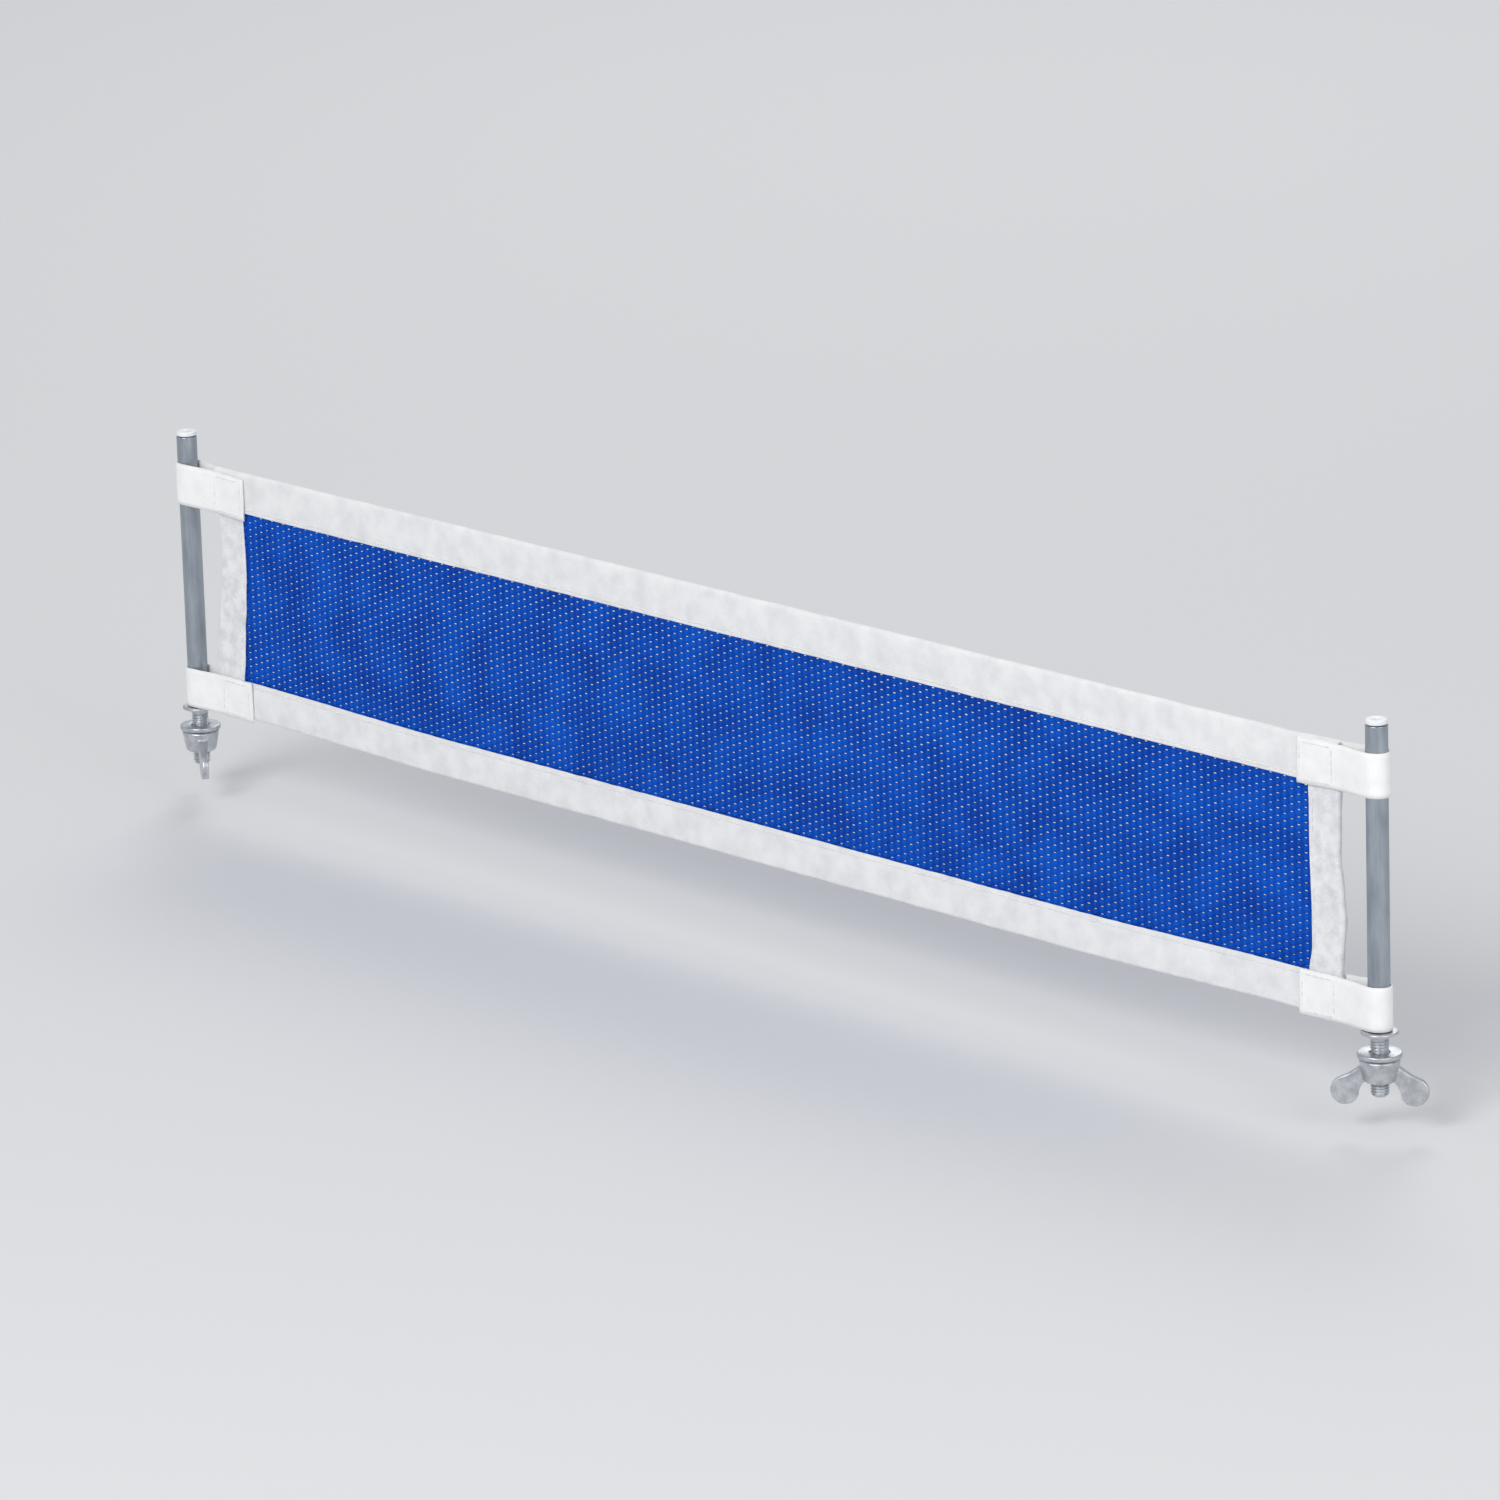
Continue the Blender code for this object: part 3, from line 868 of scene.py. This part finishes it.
def clamp_washer(end, centre, material):
    """A stamped washer: rolled over on its upper edge, square on the lower."""
    node = f"clamp_washer_{end}"
    low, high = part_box(node)
    outer = (high.y - low.y) / 2
    roll, burr = 0.00035, 0.00010
    profile = [*rounded((outer - roll, high.z - roll), roll, pi / 2, 0),
               *rounded((outer - burr, low.z + burr), burr, 0, -pi / 2),
               *rounded((WASHER_BORE + burr, low.z + burr), burr, -pi / 2, -pi),
               *rounded((WASHER_BORE + roll, high.z - roll), roll, pi, pi / 2)]
    turned(f"clamp_washer_zinc_{end}", node, [profile] * TURN_STEPS, centre, f"washer_{end}", "zinc_steel",
           material, ring=True)


# Wing nuts

def hollow_flank(start, end):
    """Points from start towards end, hollowed to the right of their run."""
    square = Vector((end.y - start.y, start.x - end.x)).normalized()
    shares = [k / WING_FLANK_STEPS for k in range(WING_FLANK_STEPS)]
    return [start.lerp(end, share) + square * WING_HOLLOW * sin(pi * share) for share in shares]


def wing_outline(side):
    """One wing's outline with hollow flanks, as (reach, height) points below the nut's base."""
    ear = Vector((WING_SPAN / 2 - WING_TIP_RADIUS, WING_TIP_RADIUS - WING_HEIGHT))
    upper = Vector((WING_ROOT, -WING_ROOT_TOP))
    lower = Vector((WING_ROOT, WING_ROOT_FOOT - HUB_HEIGHT))
    start = tangent(upper, ear, WING_TIP_RADIUS, -1)
    end = tangent(lower, ear, WING_TIP_RADIUS, 1) - tau
    tip = []
    for k in range(WING_TIP_STEPS + 1):
        angle = start + (end - start) * k / WING_TIP_STEPS
        tip.append(ear + WING_TIP_RADIUS * Vector((cos(angle), sin(angle))))
    points = hollow_flank(upper, tip[0]) + tip[:-1] + hollow_flank(tip[-1], lower) + [lower]
    return [Vector((side * p.x, p.y)) for p in points]


def wing_mesh(side):
    """A solid wing, thick at the hub and thinner at the ear."""
    outline = wing_outline(side)
    size = len(outline)
    verts = []
    for face in (-1, 1):
        for p in outline:
            share = (abs(p.x) - WING_ROOT) / (WING_SPAN / 2 - WING_ROOT)
            verts.append((p.x, face * (WING_HALF_THICKNESS - WING_TAPER * share), p.y))
    faces = [tuple(range(size)), tuple(reversed(range(size, 2 * size)))]
    faces += [(k, size + k, size + (k + 1) % size, (k + 1) % size) for k in range(size)]
    return new_mesh("wing", verts, faces)


def hub_mesh():
    """A tapered hub with chamfered rims and a chamfered bore."""
    edge, bore_edge = 0.0006, 0.0004
    profile = [(NUT_BORE + bore_edge, 0), (HUB_BASE - edge, 0), (HUB_BASE, -edge),
               (HUB_NOSE, edge - HUB_HEIGHT), (HUB_NOSE - edge, -HUB_HEIGHT),
               (NUT_BORE + bore_edge, -HUB_HEIGHT), (NUT_BORE, bore_edge - HUB_HEIGHT), (NUT_BORE, -bore_edge)]
    return new_mesh("hub", *spun([profile] * TURN_STEPS, ring=True))


def applied(item):
    """The item's mesh with its modifiers applied."""
    graph = bpy.context.evaluated_depsgraph_get()
    return bpy.data.meshes.new_from_object(item.evaluated_get(graph))


def cast_nut_mesh():
    """Hub and wings fused and softened, so that their joints have the fillets of a cast nut."""
    hub = linked("hub_shape", hub_mesh())
    wings = [linked("wing_shape", wing_mesh(side)) for side in (1, -1)]
    for item in wings:
        union = hub.modifiers.new("union", "BOOLEAN")
        union.operation = "UNION"
        union.object = item
    remesh = hub.modifiers.new("skin", "REMESH")
    remesh.mode = "VOXEL"
    remesh.voxel_size = CAST_VOXEL
    soften = hub.modifiers.new("soften", "SMOOTH")
    soften.factor = 0.5
    soften.iterations = CAST_SOFTENINGS
    mesh = applied(hub)
    for item in (hub, *wings):
        bpy.data.objects.remove(item)
    mesh.shade_smooth()
    return mesh


def wing_nut(end, side, centre, shape, material):
    """The cast nut's shape set on one post's axis, turned to the rest angle."""
    node = f"wing_nut_{end}"
    _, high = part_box(node)
    mesh = shape.copy()
    turn = Matrix.Rotation(side * WING_REST_ANGLE, 4, "Z")
    mesh.transform(Matrix.Translation((centre, 0, high.z)) @ turn)
    item = dress(f"wing_nut_cast_{end}", mesh, f"nut_{end}", material)
    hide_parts(node)


# Stage

def floor_material():
    """A matt floor that fades, beyond the reach of the lamps, into an even pale backdrop."""
    material, tree, shader = new_material("pale_floor", FLOOR_COLOUR, 0.85)
    shader.inputs["Specular IOR Level"].default_value = 0.2
    inward = add_node(tree, "ShaderNodeTexGradient", gradient_type="SPHERICAL")
    tree.links.new(object_place(tree, (1 / FADE_END, 1 / FADE_END, 1)), inward.inputs["Vector"])
    near = maths(tree, "DIVIDE", inward.outputs["Fac"], 1 - FADE_START / FADE_END)
    far = maths(tree, "SUBTRACT", 1.0, maths(tree, "MINIMUM", near, 1.0))
    paths = tree.nodes.new("ShaderNodeLightPath")
    mirrored = maths(tree, "MAXIMUM", paths.outputs["Is Glossy Ray"], paths.outputs["Is Transmission Ray"])
    seen = maths(tree, "MAXIMUM", paths.outputs["Is Camera Ray"], mirrored)
    backdrop = add_node(tree, "ShaderNodeEmission", Color=BACKDROP_COLOUR)
    mix = tree.nodes.new("ShaderNodeMixShader")
    tree.links.new(maths(tree, "MULTIPLY", far, seen), mix.inputs[0])
    tree.links.new(shader.outputs[0], mix.inputs[1])
    tree.links.new(backdrop.outputs[0], mix.inputs[2])
    tree.links.new(mix.outputs[0], tree.nodes["Material Output"].inputs["Surface"])
    return material


def floor():
    """A wide pale floor, clear of the wing nuts at their lowest."""
    mesh = bpy.data.meshes.new("floor")
    low = CAD_BOX[0].z - NUT_TRAVEL - FLOOR_CLEARANCE
    corners = ((-1, -1), (1, -1), (1, 1), (-1, 1))
    mesh.from_pydata([(x * FLOOR_HALF, y * FLOOR_HALF, low) for x, y in corners], [], [(0, 1, 2, 3)])
    mesh.materials.append(floor_material())
    item = linked("floor", mesh)


def lights():
    """A pale room and soft round lamps."""
    world = bpy.data.worlds.new("soft_room")
    world.use_nodes = True
    background = world.node_tree.nodes["Background"]
    background.inputs["Color"].default_value = ROOM_COLOUR
    background.inputs["Strength"].default_value = ROOM_STRENGTH
    bpy.context.scene.world = world
    for name, place, aim_height, size, power in LAMPS:
        data = bpy.data.lights.new(name, "AREA")
        data.shape = "DISK"
        data.size = size
        data.energy = power
        item = linked(name, data)
        item.location = place
        aim = Vector((0, 0, aim_height)) - Vector(place)
        item.rotation_euler = aim.to_track_quat("-Z", "Y").to_euler()


def camera():
    """The view, and colours shown as they are."""
    data = bpy.data.cameras.new("view")
    data.lens = CAMERA_LENS
    data.sensor_width = SENSOR_WIDTH
    data.clip_start, data.clip_end = CLIP_NEAR, CLIP_FAR
    item = linked("view", data)
    item.location = CAMERA_PLACE
    look = (CAMERA_AIM - CAMERA_PLACE).to_track_quat("-Z", "Y")
    item.rotation_mode = "QUATERNION"
    item.rotation_quaternion = look @ Quaternion((0, 0, 1), CAMERA_ROLL)
    bpy.context.scene.camera = item
    bpy.context.scene.view_settings.view_transform = "Standard"


def main():
    camera()
    lights()
    floor()
    tape_cloth = cloth_material("white_tape_cotton", dark=(0.73, 0.73, 0.745), light=(0.89, 0.885, 0.885),
                                yarns=(0.00042, 0.00036), roughness=0.9, bump=0.55, patch_size=0.006)
    side_cloth = cloth_material("white_side_tape_cotton", dark=(0.62, 0.62, 0.65),
                                light=(0.88, 0.875, 0.885), yarns=(0.00042, 0.00036), roughness=0.9,
                                bump=0.55, patch_size=0.0032)
    strap_cloth = cloth_material("white_strap_weave", dark=(0.82, 0.815, 0.805), light=(0.92, 0.915, 0.90),
                                 yarns=(0.00055, 0.00024), roughness=0.82, bump=0.20, patch_size=0.005)
    sewing = cloth_material("white_sewing_thread", dark=(0.74, 0.74, 0.74), light=(0.88, 0.88, 0.87),
                            yarns=(0.0003, 0.0003), roughness=0.7, bump=0.1, patch_size=0.004)
    netting(netting_material())
    tapes(tape_cloth, side_cloth, sewing)
    steel, nylon = steel_material(), nylon_material()
    stud_zinc = zinc_material("turned_zinc", 2600.0, 0.15)
    cast_zinc = zinc_material("cast_zinc", 1500.0, 0.45)
    nut_shape = cast_nut_mesh()
    for end, side in ENDS:
        for level in ("top", "bottom"):
            loop(level, end, side, strap_cloth, sewing)
        low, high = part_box(f"post_tube_{end}")
        centre = (low.x + high.x) / 2
        post_tube(end, centre, steel)
        post_cap(end, centre, nylon)
        collar_stud(end, centre, stud_zinc)
        clamp_washer(end, centre, stud_zinc)
        wing_nut(end, side, centre, nut_shape, cast_zinc)


main()
